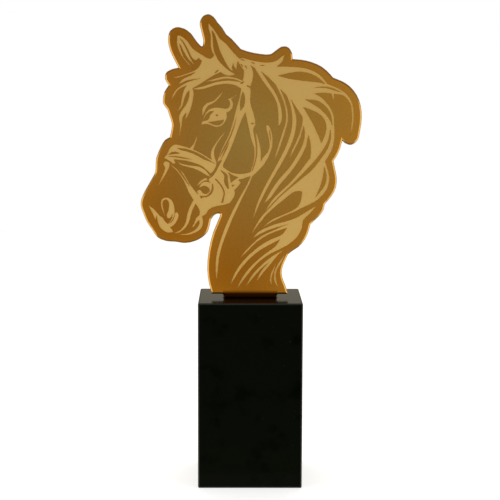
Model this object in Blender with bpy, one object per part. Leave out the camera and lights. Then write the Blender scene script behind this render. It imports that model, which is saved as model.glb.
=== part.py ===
"""Horse head trophy: an engraved gold mirror plate standing in a slot of a black stone plinth.

The origin is the middle of the plinth's underside, the plate faces -Y and +Z is up.
"""
import math

import bmesh
import bpy
from mathutils import Vector
from mathutils.geometry import delaunay_2d_cdt

MM = 0.001

# Plinth, in millimetres
PLINTH_WIDTH = 50.0
PLINTH_DEPTH = 50.0
PLINTH_HEIGHT = 90.0
PLINTH_ARRIS = 0.7

# Plate, in millimetres
PLATE_WIDTH = 106.3
PLATE_HEIGHT = 134.4
PLATE_THICKNESS = 3.0
PLATE_SETBACK = 17.2
SHOULDER_GAP = 2.0
ENGRAVING_DEPTH = 0.25

# Tab of the plate and its slot in the plinth, in millimetres
TAB_WIDTH = 26.0
TAB_DEPTH = 15.0
TAB_FILLET = 0.9
TAB_FILLET_EDGES = 3
SLOT_CLEARANCE = 0.3
SLOT_OVERCUT = 5.0

# Finishes: linear colour, roughness and metallic value
GOLD_MIRROR = ((0.30, 0.15, 0.03), 0.12, 1.0)
BLACK_STONE = ((0.004, 0.004, 0.003), 0.15, 0.0)

# Curve quality: how far a straight edge may stay off the drawn curve, in millimetres
CURVE_TOLERANCE = 0.06
CURVE_SPLITS = 4
MERGE_DISTANCE = 0.02

# The drawing. Points are (across, up), and the drawing is scaled to PLATE_WIDTH and PLATE_HEIGHT.
# A shape is a list of runs: each run starts at a sharp corner and flows on to the next run's start.
SILHOUETTE = [
    [(-18.7, 2.0), (-20.1, 7.0), (-20.9, 14.0), (-20.2, 23.0), (-18.0, 32.0), (-14.9, 39.5), (-14.6, 40.9),
     (-16.1, 41.1), (-17.7, 40.2)],
    [(-19.1, 38.3), (-19.7, 35.5), (-20.8, 32.2), (-23.3, 29.6), (-27.0, 27.7), (-31.5, 26.8),
     (-36.3, 27.4), (-41.0, 27.8), (-45.0, 29.6), (-47.5, 33.2), (-50.1, 37.1), (-51.7, 41.0),
     (-53.0, 45.0), (-52.7, 48.0), (-51.0, 52.0), (-48.1, 57.1), (-45.9, 61.3), (-45.7, 64.5),
     (-45.4, 68.0), (-43.1, 73.5), (-41.2, 76.6)],
    [(-38.8, 78.0), (-38.0, 81.8), (-37.8, 84.3), (-38.8, 87.7)],
    [(-39.9, 91.1), (-41.9, 93.8), (-42.1, 95.6), (-41.4, 99.5)],
    [(-39.3, 102.7), (-41.0, 105.7), (-40.6, 108.5), (-38.0, 110.3)],
    [(-34.6, 111.1), (-36.4, 114.5), (-38.6, 119.3), (-39.5, 124.2), (-38.7, 128.2), (-35.7, 130.2),
     (-31.9, 129.6), (-28.5, 127.2), (-25.7, 123.3), (-23.3, 121.2), (-22.7, 123.4), (-23.6, 128.0),
     (-24.4, 132.3), (-22.9, 135.4), (-20.3, 136.4), (-17.8, 135.1), (-15.9, 132.5), (-13.7, 130.0)],
    [(-11.8, 126.9), (-9.2, 124.8)],
    [(-4.8, 120.0), (-1.4, 118.9), (4.2, 117.8), (9.3, 117.7), (12.0, 119.5), (14.8, 121.3), (17.6, 121.0),
     (19.5, 118.5)],
    [(19.9, 115.4), (24.0, 115.1), (29.0, 114.0), (34.0, 111.7), (38.0, 108.2)],
    [(39.3, 106.7), (43.3, 105.1), (47.2, 102.7), (50.8, 98.4), (52.8, 93.2), (53.3, 87.3), (52.6, 81.4),
     (51.4, 76.7), (48.3, 74.5), (45.4, 75.3)],
    [(44.1, 76.6), (43.1, 72.7), (41.1, 68.4)],
    [(39.9, 66.7), (40.7, 63.2), (41.6, 58.5), (41.2, 53.8), (39.3, 49.9)],
    [(36.0, 45.9), (35.2, 42.7), (32.7, 39.5)],
    [(29.1, 36.1), (28.3, 32.9), (26.5, 28.7), (23.3, 24.9), (20.1, 22.8)],
    [(18.4, 21.4), (16.6, 17.6), (15.4, 13.8), (15.6, 10.2), (17.1, 6.2)],
    [(18.5, 2.0)],
]

EARS = [
    # Far ear: two thin strands and the blade beside them
    [[(-35.2, 125.4), (-35.3, 122.5), (-34.6, 119.9), (-33.3, 117.0), (-30.9, 113.8)],
     [(-27.4, 110.3), (-29.5, 113.0), (-31.9, 115.7), (-33.5, 119.8), (-34.1, 122.4)],
     [(-34.1, 125.4)]],
    [[(-34.6, 125.5), (-34.2, 122.7), (-33.3, 121.3), (-32.2, 119.0), (-29.6, 114.8)],
     [(-25.7, 111.4), (-27.9, 113.8), (-30.2, 118.3), (-31.4, 120.9), (-32.7, 123.3)],
     [(-34.3, 125.3)]],
    [[(-35.3, 125.4), (-34.9, 126.2), (-33.6, 126.1), (-30.5, 123.8), (-27.9, 120.2)],
     [(-20.9, 115.6), (-23.4, 114.4)],
     [(-24.9, 115.7), (-26.3, 114.6), (-28.0, 115.7), (-29.8, 119.2), (-32.0, 123.0), (-33.8, 124.9)]],
    # Near ear: its front strand, then the broad blade
    [[(-20.3, 132.2), (-20.2, 129.6), (-19.2, 126.5), (-19.2, 122.5), (-18.8, 119.5), (-17.5, 116.6)],
     [(-15.6, 113.9), (-17.2, 117.7), (-18.0, 121.0), (-18.2, 125.0), (-18.6, 127.6)],
     [(-18.8, 129.4)]],
    [[(-20.3, 132.2), (-18.0, 129.5), (-15.8, 126.3)],
     [(-15.0, 124.9), (-12.0, 122.5), (-9.0, 119.0)],
     [(-5.4, 115.2)],
     [(-6.4, 114.0), (-6.8, 112.0)],
     [(-6.8, 110.1), (-8.2, 112.0)],
     [(-8.4, 113.3), (-9.0, 111.5)],
     [(-8.6, 109.2), (-10.4, 110.8), (-12.8, 115.0), (-15.2, 120.0), (-16.6, 125.0), (-17.5, 127.3)],
     [(-18.8, 128.9)]],
]

FORELOCK = [
    [[(-23.4, 114.6), (-24.2, 112.3), (-26.2, 110.1), (-30.0, 108.5), (-34.0, 107.1)],
     [(-37.2, 106.5), (-35.5, 106.2), (-31.0, 107.6)],
     [(-26.3, 109.1), (-28.5, 107.4), (-31.0, 106.4), (-33.0, 105.2)],
     [(-34.8, 103.1), (-33.0, 103.9), (-31.0, 104.9), (-27.5, 105.6)],
     [(-24.0, 106.0), (-27.5, 105.1), (-31.0, 103.8), (-35.2, 101.1), (-37.2, 98.4)],
     [(-38.1, 95.2), (-37.0, 97.3), (-34.6, 100.7)],
     [(-30.6, 102.7), (-32.0, 100.5), (-33.0, 96.5), (-33.8, 92.6)],
     [(-35.9, 90.1), (-33.2, 92.2), (-31.8, 96.3), (-30.6, 99.2)],
     [(-29.3, 100.4), (-29.5, 97.5), (-30.9, 93.6), (-33.5, 90.0), (-34.5, 87.0), (-33.9, 84.0),
      (-34.3, 79.0)],
     [(-35.1, 74.8), (-33.9, 79.5), (-33.1, 84.0), (-32.6, 87.6)],
     [(-30.9, 89.8)],
     [(-31.3, 86.2), (-29.6, 89.5), (-28.2, 93.5), (-27.4, 98.2), (-27.5, 100.2)],
     [(-28.0, 101.2), (-25.5, 102.6), (-21.0, 105.5), (-17.6, 107.6), (-15.6, 108.5)],
     [(-14.5, 109.1), (-12.3, 107.7), (-9.6, 107.4)],
     [(-7.4, 107.9), (-10.0, 109.4), (-13.0, 111.8), (-15.8, 115.0), (-17.2, 117.5)],
     [(-18.0, 116.3), (-19.4, 115.3)],
     [(-20.9, 115.7)]],
]

BRIDLE = [
    # Crown strap
    [[(-6.4, 114.6), (-5.0, 112.0), (-3.5, 110.0), (-3.5, 107.0), (-4.0, 104.4)],
     [(-4.6, 101.2)],
     [(-0.4, 101.4), (0.6, 104.8), (1.1, 107.2), (0.9, 109.8), (-0.2, 112.3)],
     [(-2.3, 114.8)]],
    # Browband, a thin line above a wider one
    [[(-22.3, 104.3), (-18.0, 105.6), (-12.5, 106.9), (-7.0, 106.2)],
     [(-3.7, 104.8)],
     [(-3.9, 103.9), (-7.0, 105.4), (-12.0, 106.0), (-18.0, 104.8)]],
    [[(-28.4, 100.9), (-22.5, 102.3), (-17.0, 104.2), (-11.0, 105.0)],
     [(-3.9, 104.2)],
     [(-4.6, 101.2), (-7.0, 102.6), (-11.0, 103.5), (-17.0, 102.8), (-22.0, 101.2), (-25.0, 100.7)]],
    # Cheekpiece and the first throat strand, parting at the top
    [[(-4.6, 101.6)],
     [(-0.3, 101.9), (0.0, 99.5), (-0.3, 96.0), (0.1, 93.0), (1.3, 89.5), (2.1, 86.3)],
     [(2.2, 83.8), (1.4, 82.6), (1.3, 80.5), (2.2, 76.0), (2.6, 71.5), (2.3, 67.5), (1.4, 64.4)],
     [(0.6, 61.6)],
     [(-0.1, 61.5), (1.1, 65.0), (1.8, 69.0), (1.6, 73.2), (0.0, 78.0), (-0.8, 82.0), (-1.7, 86.0)],
     [(-2.6, 90.0), (-4.3, 86.5), (-5.9, 82.5), (-8.2, 76.0), (-11.0, 69.3), (-13.2, 64.8)],
     [(-13.2, 63.4)],
     [(-16.8, 61.2), (-15.3, 64.2), (-13.9, 67.1)],
     [(-16.2, 66.0), (-14.0, 72.0), (-10.6, 78.9), (-8.9, 84.0), (-7.1, 91.0), (-5.4, 97.0)]],
    # Second throat strand, running down into the jaw strap
    [[(2.2, 81.4), (3.2, 78.8), (4.3, 75.0), (4.9, 71.0), (4.9, 68.0)],
     [(4.8, 65.8)],
     [(2.6, 60.6)],
     [(0.8, 61.6), (1.9, 64.6), (2.8, 67.8), (3.2, 71.5), (2.9, 76.0)]],
    # Loop behind the jowl
    [[(7.4, 83.6), (8.4, 83.8), (9.8, 81.3), (10.5, 77.5), (10.3, 73.5), (9.1, 69.8), (6.3, 64.8),
      (3.5, 61.8)],
     [(0.4, 58.9)],
     [(-0.6, 61.2), (2.4, 62.6)],
     [(4.8, 66.3), (5.9, 68.2), (8.2, 70.8), (9.1, 74.0), (8.6, 78.0), (7.6, 81.6)]],
    # Jaw strap
    [[(0.9, 61.7), (-1.5, 60.8), (-6.0, 60.4), (-10.5, 61.5)],
     [(-13.4, 63.8)],
     [(-14.2, 61.6), (-9.9, 59.4), (-5.2, 57.8), (-1.6, 58.9)],
     [(0.9, 59.5)]],
    # Bit mass with the ring, the curb and the strands under the chin
    [[(-13.6, 67.2), (-15.2, 64.2), (-18.2, 59.3)],
     [(-20.2, 58.0)],
     [(-20.0, 56.8), (-19.2, 55.8)],
     [(-20.4, 56.5), (-22.1, 56.6), (-23.7, 55.8)],
     [(-25.0, 53.6), (-24.0, 54.1), (-22.4, 54.6), (-20.7, 54.1), (-19.7, 52.8), (-20.2, 51.3),
      (-21.7, 50.7), (-23.0, 51.1), (-23.7, 52.2), (-24.8, 52.8), (-25.7, 51.9)],
     [(-25.2, 50.3)],
     [(-28.7, 50.0)],
     [(-27.5, 47.7)],
     [(-26.5, 46.0), (-25.4, 44.4), (-24.5, 42.3)],
     [(-24.6, 40.6), (-26.3, 38.9), (-27.2, 36.3)],
     [(-28.5, 34.4), (-27.2, 35.0), (-26.0, 37.0)],
     [(-24.7, 38.2), (-24.7, 36.3), (-26.0, 34.0), (-28.5, 32.2), (-31.5, 31.3)],
     [(-35.2, 31.1), (-31.0, 30.8), (-27.0, 31.8), (-23.9, 34.0), (-22.9, 37.0)],
     [(-23.3, 40.0), (-21.5, 41.0), (-20.4, 42.9), (-18.4, 44.2), (-15.6, 45.0), (-12.5, 45.5)],
     [(-10.0, 46.4), (-8.5, 48.4), (-7.5, 51.0)],
     [(-7.8, 52.6), (-6.4, 54.0)],
     [(-4.7, 56.1)],
     [(-5.6, 57.2)],
     [(-6.0, 60.0), (-9.5, 61.2)],
     [(-13.3, 63.6)]],
    # Outer arc over the bit ring
    [[(-26.1, 54.2), (-24.7, 56.4), (-22.8, 57.9), (-21.4, 58.4)],
     [(-20.6, 57.4), (-22.3, 57.1), (-24.0, 55.9)]],
]

NOSEBAND = [
    [[(-40.1, 69.8), (-39.4, 71.6), (-38.3, 73.3), (-36.5, 74.4), (-33.0, 73.8)],
     [(-29.3, 72.7), (-27.6, 74.4), (-26.5, 77.0)],
     [(-25.5, 79.5), (-26.2, 76.0)],
     [(-27.6, 72.1), (-24.0, 70.4), (-20.0, 67.9)],
     [(-16.4, 65.9)],
     [(-16.6, 64.2), (-17.6, 62.2), (-19.2, 60.7), (-20.4, 61.6), (-23.0, 63.9), (-27.0, 65.6),
      (-31.5, 66.8)],
     [(-37.0, 67.4)],
     [(-36.2, 65.8), (-36.9, 65.1), (-38.8, 66.5)],
     [(-41.5, 68.0), (-41.1, 68.7)]],
    # Thin lower edge of the noseband
    [[(-35.5, 66.6), (-33.7, 65.4), (-29.0, 64.4), (-25.0, 63.9), (-22.0, 62.3)],
     [(-19.1, 58.9), (-21.0, 59.6), (-24.0, 61.5), (-28.0, 63.2), (-31.5, 64.0), (-33.9, 64.9)]],
    # Blob beside the nose, with its tail
    [[(-42.0, 65.2), (-41.4, 66.1), (-40.2, 66.3), (-39.0, 65.6), (-39.2, 63.6), (-41.8, 58.7),
      (-43.4, 56.2)],
     [(-45.0, 53.6), (-43.4, 57.2), (-41.8, 60.9)],
     [(-41.1, 63.2), (-41.6, 64.2)]],
    # Diagonal strap from the noseband to the bit, and the thin strand along it
    [[(-39.4, 65.4), (-35.6, 62.8), (-32.9, 59.2), (-30.2, 55.4)],
     [(-28.8, 53.8)],
     [(-26.0, 49.0)],
     [(-27.5, 47.7), (-29.8, 51.5), (-31.5, 55.7), (-33.8, 59.6), (-36.0, 62.4)]],
    [[(-34.9, 63.4), (-32.0, 60.2), (-29.4, 55.6), (-27.2, 52.6)],
     [(-25.1, 50.2)],
     [(-27.2, 49.6), (-28.9, 53.8), (-30.4, 56.4), (-32.6, 60.0)]],
]

MUZZLE = [
    # Line of the mouth
    [[(-26.2, 47.4)],
     [(-26.5, 46.0), (-28.2, 42.6), (-29.3, 38.3), (-31.0, 34.8), (-34.3, 32.1)],
     [(-37.0, 31.5), (-33.5, 33.5), (-31.4, 36.6), (-30.6, 40.5), (-29.4, 44.2)],
     [(-27.6, 47.7)]],
    # Nostril
    [[(-41.1, 39.1), (-42.3, 42.2), (-43.2, 45.5), (-42.9, 47.7), (-41.8, 48.7), (-39.8, 48.8),
      (-38.0, 47.6), (-37.0, 45.4), (-36.6, 42.4), (-36.9, 40.0), (-38.0, 37.6)],
     [(-40.0, 35.9), (-38.9, 37.3), (-37.9, 39.0)],
     [(-37.6, 41.2), (-38.2, 39.7), (-39.1, 38.8), (-40.1, 39.2), (-40.5, 40.6), (-39.6, 42.7),
      (-39.4, 44.5), (-39.4, 46.6), (-40.6, 48.0), (-41.9, 47.6), (-42.5, 46.0), (-41.9, 42.8)]],
    # Lip behind the nostril
    [[(-36.6, 41.2), (-35.8, 41.8), (-34.9, 41.2), (-34.8, 39.6), (-35.7, 37.4), (-37.3, 35.4)],
     [(-39.6, 34.2)],
     [(-40.2, 36.1), (-38.4, 36.7), (-37.2, 38.3), (-36.7, 39.8)]],
    # Fold of the muzzle and lower lip
    [[(-49.4, 45.3), (-46.5, 43.2), (-44.9, 41.3), (-43.8, 40.1), (-42.3, 39.1), (-41.3, 37.3)],
     [(-39.9, 36.1)],
     [(-38.8, 34.4), (-37.8, 33.3)],
     [(-37.4, 32.2), (-39.2, 31.9), (-41.4, 32.5), (-43.4, 34.2), (-44.6, 36.5)],
     [(-45.3, 40.2)],
     [(-45.9, 38.0), (-47.0, 40.7), (-48.3, 43.4)]],
]

EYE = [
    # Brow
    [[(-12.9, 100.2), (-15.3, 97.8), (-18.0, 95.2), (-21.0, 94.2), (-23.0, 91.9)],
     [(-23.2, 87.8), (-22.2, 90.2), (-20.5, 93.0), (-18.0, 94.3), (-15.2, 96.8)]],
    # Upper lid with its tail to the ear, and the lower lid
    [[(-23.4, 85.2), (-22.2, 88.4), (-20.4, 90.9), (-18.0, 92.0), (-14.5, 92.0), (-11.9, 91.6),
      (-10.4, 92.4), (-10.0, 94.2), (-10.5, 95.8)],
     [(-11.3, 96.2), (-9.2, 96.8), (-6.8, 98.5)],
     [(-4.8, 101.2)],
     [(-5.2, 100.2), (-7.3, 97.7)],
     [(-9.4, 96.2), (-8.6, 94.5), (-8.7, 92.4), (-9.8, 90.8)],
     [(-11.7, 89.7), (-11.4, 87.9), (-12.2, 85.6), (-14.0, 83.6), (-16.2, 82.9), (-18.5, 83.5),
      (-21.0, 84.4)],
     [(-23.8, 83.9)]],
    # Fold of the cheek
    [[(-11.4, 81.7), (-14.4, 78.4), (-17.2, 74.6), (-19.0, 71.2), (-19.1, 68.4)],
     [(-18.3, 66.3)],
     [(-16.4, 65.6), (-17.3, 68.3), (-17.5, 71.6), (-15.8, 75.6), (-13.6, 78.6)]],
]

NECK = [
    [[(0.1, 59.4), (-1.8, 55.0), (-5.8, 48.0), (-10.3, 39.0), (-13.0, 32.5), (-15.3, 25.5), (-16.6, 19.5),
      (-16.8, 13.5)],
     [(-16.4, 8.2), (-15.8, 13.5), (-15.2, 19.5), (-13.8, 25.5), (-11.2, 32.5), (-8.4, 39.5), (-3.9, 49.0),
      (-0.5, 55.8)],
     [(1.0, 59.8)]],
]

MANE = [
    # The mass of the mane, from the crown round to the withers
    [[(-6.2, 115.0), (-4.5, 115.7), (1.0, 114.4), (8.0, 113.6), (12.2, 114.5), (14.2, 116.1)],
     [(16.1, 117.4), (15.2, 114.6), (14.0, 113.1)],
     [(12.4, 111.7), (20.0, 111.6), (27.5, 110.5), (33.0, 107.7)],
     [(36.6, 103.6), (41.0, 101.8), (45.6, 98.9), (48.5, 94.6), (49.4, 88.5), (48.9, 83.0)],
     [(48.0, 78.8), (48.2, 82.2), (48.6, 88.8), (47.5, 94.6), (44.3, 98.1)],
     [(39.7, 98.9), (39.9, 97.0)],
     [(39.5, 95.5), (39.2, 97.0)],
     [(38.5, 99.1), (34.0, 99.4)],
     [(30.3, 99.0), (34.0, 96.9), (37.4, 93.2), (39.7, 88.6), (40.1, 83.5), (40.3, 78.3), (39.3, 72.8)],
     [(35.9, 66.5), (37.3, 62.2), (38.0, 58.0), (36.8, 53.1), (33.0, 48.6), (28.2, 45.6)],
     [(22.5, 43.2)],
     [(15.6, 43.2)],
     [(23.0, 57.0)],
     [(28.5, 67.0), (29.0, 71.0), (28.7, 75.5)],
     [(27.7, 79.4)],
     [(25.4, 84.0)],
     [(24.7, 88.0), (22.0, 92.0), (20.3, 94.6)],
     [(19.3, 96.2)],
     [(12.2, 102.8), (8.4, 106.7)],
     [(5.2, 109.2)],
     [(4.4, 109.7)],
     [(1.2, 111.4)],
     [(-2.3, 113.8)],
     [(-6.2, 114.2)]],
    # Locks hanging from the mass, front to back
    [[(1.6, 111.3), (5.6, 105.0), (9.8, 99.5), (12.4, 94.5), (13.2, 89.5)],
     [(13.3, 83.1), (14.7, 85.6), (14.8, 90.8), (12.5, 97.8), (8.3, 104.3)],
     [(4.5, 109.9)]],
    [[(11.8, 103.3), (14.6, 97.7), (16.6, 91.6), (16.8, 85.5), (14.9, 79.2), (12.1, 70.2)],
     [(11.4, 66.4), (14.3, 74.0), (17.3, 83.6), (17.9, 88.5), (16.4, 95.5)],
     [(13.4, 102.6)]],
    [[(13.2, 103.0), (17.0, 98.2), (19.5, 91.0), (19.8, 83.5), (17.9, 76.0), (13.3, 66.2), (8.0, 56.5),
      (3.7, 47.4)],
     [(0.9, 37.8), (4.6, 46.6), (10.4, 57.8), (17.3, 69.8), (21.0, 79.0), (21.9, 86.5), (20.9, 91.5)],
     [(19.2, 96.4)]],
    [[(25.0, 88.8), (24.6, 84.0), (22.8, 78.0), (19.7, 71.4)],
     [(18.5, 67.2), (21.1, 72.2), (24.0, 78.4), (25.2, 83.0)],
     [(25.6, 84.2)]],
    [[(25.2, 84.4), (26.0, 80.5), (25.3, 75.5), (22.5, 69.5), (18.3, 63.0), (13.5, 57.6), (9.3, 51.4)],
     [(6.4, 46.0), (9.9, 49.2), (14.2, 55.4), (19.2, 61.2), (23.7, 67.8), (26.7, 74.0), (27.7, 79.2)],
     [(28.2, 80.0)]],
    [[(28.8, 68.4), (24.3, 62.3), (18.5, 55.7), (13.5, 51.0), (10.3, 47.6)],
     [(7.1, 42.3), (9.0, 44.1), (11.4, 46.9), (14.3, 49.9), (19.7, 54.9), (24.6, 59.9), (29.3, 64.9)],
     [(30.8, 67.0)]],
    [[(25.4, 59.2), (20.0, 54.7), (13.0, 48.4), (8.4, 43.2), (5.4, 39.9), (2.8, 35.8)],
     [(-0.2, 30.2), (4.4, 36.7), (9.8, 42.4), (16.2, 47.8), (21.0, 51.6)],
     [(25.4, 51.8)]],
    [[(23.6, 45.3), (20.0, 42.6), (15.0, 40.4), (10.0, 38.0)],
     [(5.0, 33.6), (8.0, 35.9), (15.0, 39.6), (21.5, 42.3)],
     [(26.6, 45.0)]],
    # Lower mane
    [[(12.5, 36.3), (17.0, 37.4), (23.0, 39.7), (28.8, 43.3)],
     [(32.2, 45.3), (28.5, 41.1), (25.4, 37.8), (24.9, 34.2), (22.8, 30.2), (18.5, 26.3)],
     [(15.0, 24.4), (10.0, 21.9), (5.0, 18.5), (1.0, 14.4), (-2.5, 10.0), (-5.0, 6.4)],
     [(-6.5, 4.5), (-5.0, 8.1), (-2.0, 12.8), (2.4, 17.6), (7.6, 22.0), (12.0, 25.2)],
     [(14.4, 28.8), (10.8, 26.9), (5.0, 23.7), (-0.8, 18.9), (-5.4, 13.3), (-8.0, 9.0)],
     [(-9.7, 6.1), (-8.3, 10.6), (-5.6, 15.4), (-0.5, 21.3), (5.6, 26.2), (10.5, 29.0), (15.3, 31.1)],
     [(17.7, 34.4), (12.5, 32.7), (7.5, 30.4), (3.0, 27.4), (-1.0, 23.4)],
     [(-5.4, 19.2), (-2.5, 22.9), (1.5, 27.0), (5.5, 30.4), (10.5, 32.8), (15.0, 34.9)],
     [(18.6, 36.3), (12.5, 34.6), (8.5, 33.2), (4.5, 31.3)],
     [(1.2, 29.3), (3.5, 32.0), (6.5, 33.9)]],
    # Forked lock over the withers, then two thin strands
    [[(16.4, 23.7), (12.7, 21.8), (9.0, 19.3), (3.4, 14.2), (0.0, 10.0)],
     [(-2.5, 5.5), (0.1, 8.4), (3.1, 12.1), (6.6, 15.7)],
     [(9.0, 17.6), (5.9, 14.0), (3.9, 10.6)],
     [(2.9, 7.8), (5.9, 12.0), (10.1, 17.0), (13.4, 21.2)]],
    [[(12.8, 17.7), (10.9, 14.0), (9.8, 11.0), (9.6, 8.4)],
     [(10.4, 6.1), (10.4, 10.0), (11.4, 13.4)]],
    [[(17.2, 22.2), (13.9, 17.5), (11.9, 13.3), (11.5, 9.5), (12.6, 6.6)],
     [(13.9, 5.0), (12.6, 9.0), (12.7, 13.2), (15.0, 17.5)]],
]

KEPT = [
    # Creases left standing in the forelock and the crown strap
    [[(-17.4, 108.4), (-16.0, 109.1)],
     [(-15.2, 110.3), (-16.8, 109.4)]],
    [[(-5.0, 112.9), (-4.4, 112.0)],
     [(-3.7, 111.3), (-4.2, 112.6)]],
    [[(-3.0, 112.3), (-2.5, 111.2)],
     [(-1.9, 110.4), (-2.2, 111.8)]],
    [[(-5.2, 115.1), (-4.0, 114.6)],
     [(-2.8, 114.4), (-3.9, 115.1)]],
    [[(-0.2, 113.7), (1.0, 113.1)],
     [(2.0, 112.9), (1.0, 113.7)]],
    [[(4.1, 112.2), (5.5, 112.0)],
     [(7.0, 112.2), (5.5, 112.5)]],
    [[(-4.9, 103.3), (-3.3, 104.1)],
     [(-3.5, 104.7), (-5.0, 103.9)]],
    [[(-2.0, 102.4), (-0.2, 101.5)],
     [(-0.2, 102.1), (-1.8, 102.9)]],
    # Field between cheekpiece and throat strap, and the buckle hole
    [[(-4.0, 99.8), (-4.8, 96.8), (-5.2, 93.2)],
     [(-5.0, 90.7), (-3.3, 92.8), (-2.8, 96.0), (-3.2, 98.8)]],
    [[(0.1, 84.6), (0.8, 84.1)],
     [(1.5, 84.6), (0.8, 85.1)]],
    # Creases along the cheekpiece
    [[(-6.8, 87.8), (-8.2, 83.3), (-10.3, 78.0), (-13.7, 71.5)],
     [(-15.1, 67.8), (-12.9, 71.8), (-9.6, 78.2), (-7.8, 83.3)]],
    [[(-10.2, 75.8), (-12.0, 72.9)],
     [(-14.5, 67.0), (-13.1, 69.2), (-11.3, 72.8)]],
    # Crease in the loop behind the jowl
    [[(8.9, 81.9), (9.0, 79.3)],
     [(9.7, 76.0), (9.5, 79.4)]],
    # Openings between the jaw strap and the bit
    [[(-14.7, 62.3), (-13.0, 61.4), (-11.3, 60.0), (-10.9, 57.0)],
     [(-10.4, 53.2)],
     [(-11.0, 53.3), (-12.4, 55.4), (-12.8, 57.6), (-12.6, 59.4)]],
    [[(-10.9, 61.2), (-10.2, 59.9), (-9.8, 58.0)],
     [(-9.5, 56.1), (-7.8, 57.4)],
     [(-5.9, 58.8), (-8.3, 59.7)]],
    [[(-8.9, 54.0)],
     [(-9.0, 55.1)],
     [(-7.4, 55.1), (-8.2, 54.6)]],
    [[(-17.2, 57.8), (-14.6, 54.8), (-13.0, 51.3), (-13.3, 49.2)],
     [(-14.2, 46.5)],
     [(-13.2, 46.5), (-12.7, 49.2), (-12.4, 51.4), (-13.9, 55.0)],
     [(-16.8, 58.2)]],
    # Shadow line round the bit ring
    [[(-18.6, 55.6), (-18.7, 53.0), (-20.2, 50.5), (-22.2, 49.6)],
     [(-24.5, 49.9)],
     [(-24.2, 49.2)],
     [(-23.8, 48.4)],
     [(-23.3, 49.0), (-21.4, 49.1), (-19.2, 50.4), (-17.9, 52.8)],
     [(-18.2, 55.6)]],
    # Creases in the noseband
    [[(-35.5, 72.8), (-31.5, 72.5), (-27.5, 71.3), (-23.5, 69.4), (-20.0, 67.2)],
     [(-16.9, 65.1), (-19.5, 66.3), (-22.5, 67.3), (-26.0, 69.3), (-30.0, 70.9), (-33.6, 71.8)]],
    [[(-39.5, 69.5), (-38.3, 70.7), (-36.2, 71.0)],
     [(-33.9, 70.2), (-36.5, 69.9)]],
    [[(-40.3, 68.8), (-36.0, 68.9), (-31.5, 68.1)],
     [(-28.2, 67.3), (-31.5, 67.6), (-36.0, 68.3)]],
    # White of the eye and the space under it
    [[(-23.1, 85.5), (-21.5, 88.6), (-19.6, 90.3)],
     [(-17.6, 90.5), (-19.3, 88.8), (-20.4, 86.4)]],
    [[(-20.5, 85.2), (-17.0, 85.7)],
     [(-12.8, 86.4), (-13.6, 84.8), (-15.5, 83.7), (-18.2, 84.1)]],
    [[(-16.9, 88.5), (-16.2, 88.0)],
     [(-15.5, 88.5), (-16.2, 89.0)]],
    # Partings in the mane
    [[(12.7, 107.4), (18.0, 108.7), (24.0, 109.3), (29.0, 108.3), (33.0, 106.0)],
     [(35.6, 103.6), (32.0, 104.3), (25.0, 105.0), (18.0, 106.0)]],
    [[(30.2, 101.8), (34.5, 102.3), (38.5, 101.8)],
     [(43.6, 99.5), (40.0, 100.4), (36.0, 101.6)]],
    [[(25.9, 96.2), (31.5, 95.7), (35.3, 93.5), (38.2, 89.6)],
     [(39.3, 83.6), (37.3, 87.4), (33.0, 91.8), (29.3, 94.2)]],
    [[(25.1, 92.6), (30.5, 90.6), (34.3, 88.0), (36.2, 84.2), (35.9, 79.8)],
     [(34.0, 75.3), (32.3, 79.4), (29.8, 84.7)]],
    [[(38.3, 82.1), (38.6, 78.0), (37.2, 73.2), (33.0, 66.6), (29.0, 61.8), (25.0, 58.5), (21.0, 55.2),
      (17.0, 51.9), (13.0, 48.2), (9.0, 43.7)],
     [(6.8, 41.5), (8.9, 44.2), (11.3, 47.0), (14.2, 50.0), (19.6, 55.0), (24.5, 60.0), (29.2, 65.0),
      (33.3, 69.9), (37.0, 76.2)]],
    [[(35.5, 64.2), (36.6, 60.0), (36.2, 56.0), (34.0, 52.3)],
     [(31.3, 48.9), (33.6, 54.5), (34.9, 59.0)]],
    [[(24.0, 52.3), (21.0, 51.8), (16.0, 48.0), (9.6, 42.6), (5.8, 38.2)],
     [(5.0, 33.6), (10.0, 38.0), (15.0, 40.4), (20.4, 42.8), (23.3, 45.2), (24.6, 49.0)],
     [(24.9, 51.8)]],
]

ENGRAVED = EARS + FORELOCK + BRIDLE + NOSEBAND + MUZZLE + EYE + NECK + MANE

# How far the silhouette's own points reach
DRAWN_ACROSS = [point[0] for run in SILHOUETTE for point in run]
DRAWN_UP = [point[1] for run in SILHOUETTE for point in run]


def drawn_to_plate(point):
    """Turns a point of the drawing into a place on the plate, up being from the plinth's underside."""
    across = point[0] * PLATE_WIDTH / (max(DRAWN_ACROSS) - min(DRAWN_ACROSS))
    up = (point[1] - min(DRAWN_UP)) * PLATE_HEIGHT / (max(DRAWN_UP) - min(DRAWN_UP))
    return Vector((across, PLINTH_HEIGHT + SHOULDER_GAP + up))


def spline_point(before, start, end, after, t):
    """A point on the centripetal Catmull-Rom curve from start to end."""
    points = (before, start, end, after)
    knots = [0.0]
    for point, following in zip(points, points[1:]):
        knots.append(knots[-1] + math.sqrt((following - point).length))
    t = knots[1] + t * (knots[2] - knots[1])

    def blend(first, last, low, high):
        return first.lerp(last, (t - knots[low]) / (knots[high] - knots[low]))

    left = blend(before, start, 0, 1)
    middle = blend(start, end, 1, 2)
    right = blend(end, after, 2, 3)
    return blend(blend(left, middle, 0, 2), blend(middle, right, 1, 3), 1, 2)


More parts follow.
